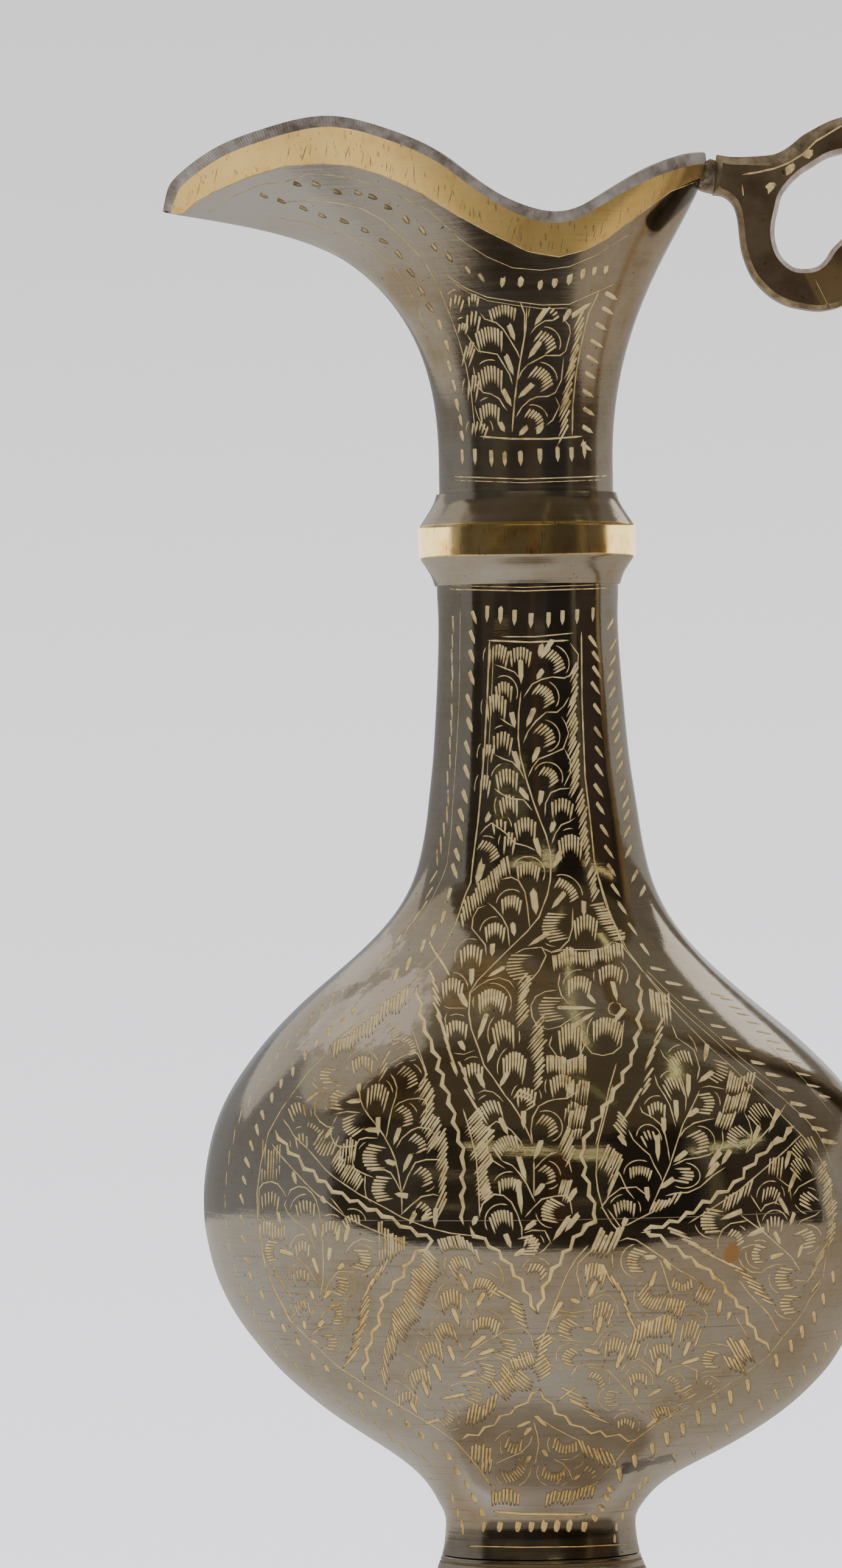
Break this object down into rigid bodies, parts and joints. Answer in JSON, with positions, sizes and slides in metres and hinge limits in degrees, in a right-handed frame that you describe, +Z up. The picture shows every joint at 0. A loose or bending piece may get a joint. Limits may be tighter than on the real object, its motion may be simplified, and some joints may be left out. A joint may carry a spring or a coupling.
{
  "type": "engraved brass jug",
  "caption": "Tall pouring jug with a trough spout, a round collared neck, a pear-shaped belly on a splayed hollow foot, and a flat handle with a pierced thumb ring.",
  "frame": {"origin": "middle of the underside of the bounding box, on the surface that the jug stands on", "axes": "+Z up along the neck, +X from the spout towards the handle, +Y to the far side of a jug whose spout points left"},
  "size_m": [0.1314, 0.1116, 0.2655],
  "materials": {
    "tinned_brass": "polished brass under a thin grey tin wash, with engraved lines cut through to yellow brass",
    "bare_brass": "polished bare brass",
    "handle_bronze": "cast brass, filed at the edges, browned",
    "solder": "lumpy grey-brown braze"
  },
  "bodies": {
    "root": {"foot": "tinned_brass", "belly_lower_half": "tinned_brass", "belly_upper_half_and_neck": "tinned_brass", "neck_collar": "bare_brass", "mouth_and_spout": "tinned_brass", "handle": "handle_bronze", "handle_top_braze": "solder", "handle_foot_braze": "solder"}
  },
  "joints": []
}
